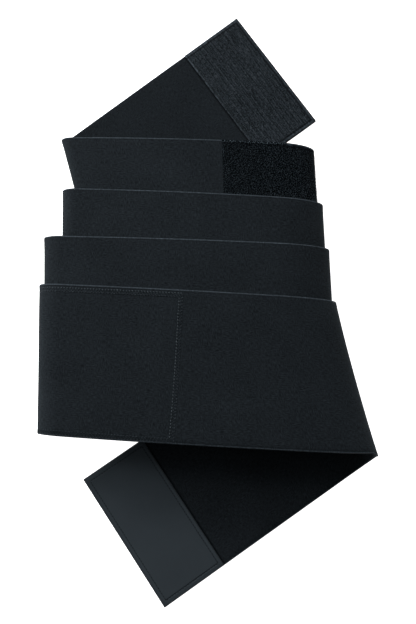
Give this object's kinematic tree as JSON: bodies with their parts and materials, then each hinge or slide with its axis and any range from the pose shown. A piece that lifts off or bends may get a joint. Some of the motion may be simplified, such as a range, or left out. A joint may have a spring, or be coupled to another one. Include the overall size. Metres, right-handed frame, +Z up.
{
  "type": "waist trimmer belt",
  "caption": "Long elastic waist wrap with hook tape, loop pile and a smooth grip tab, wound flat in overlapping laps",
  "frame": {"origin": "middle of the bounding box at its bottom, on the surface that the belt lies on", "axes": "+X to the right of the laps, +Y from the grip tab towards the hook end, +Z up from the surface"},
  "size_m": [0.292, 0.5372, 0.0424],
  "materials": {
    "elastic": "fine knitted elastic, matt charcoal",
    "hook_tape": "ribbed hook tape, matt",
    "loop_pile": "fluffy loop pile",
    "grip_tab": "smooth coated cloth"
  },
  "bodies": {
    "root": {"elastic_band": "elastic", "hook_patch": "hook_tape", "loop_patch": "loop_pile", "end_tab": "grip_tab"}
  },
  "joints": []
}
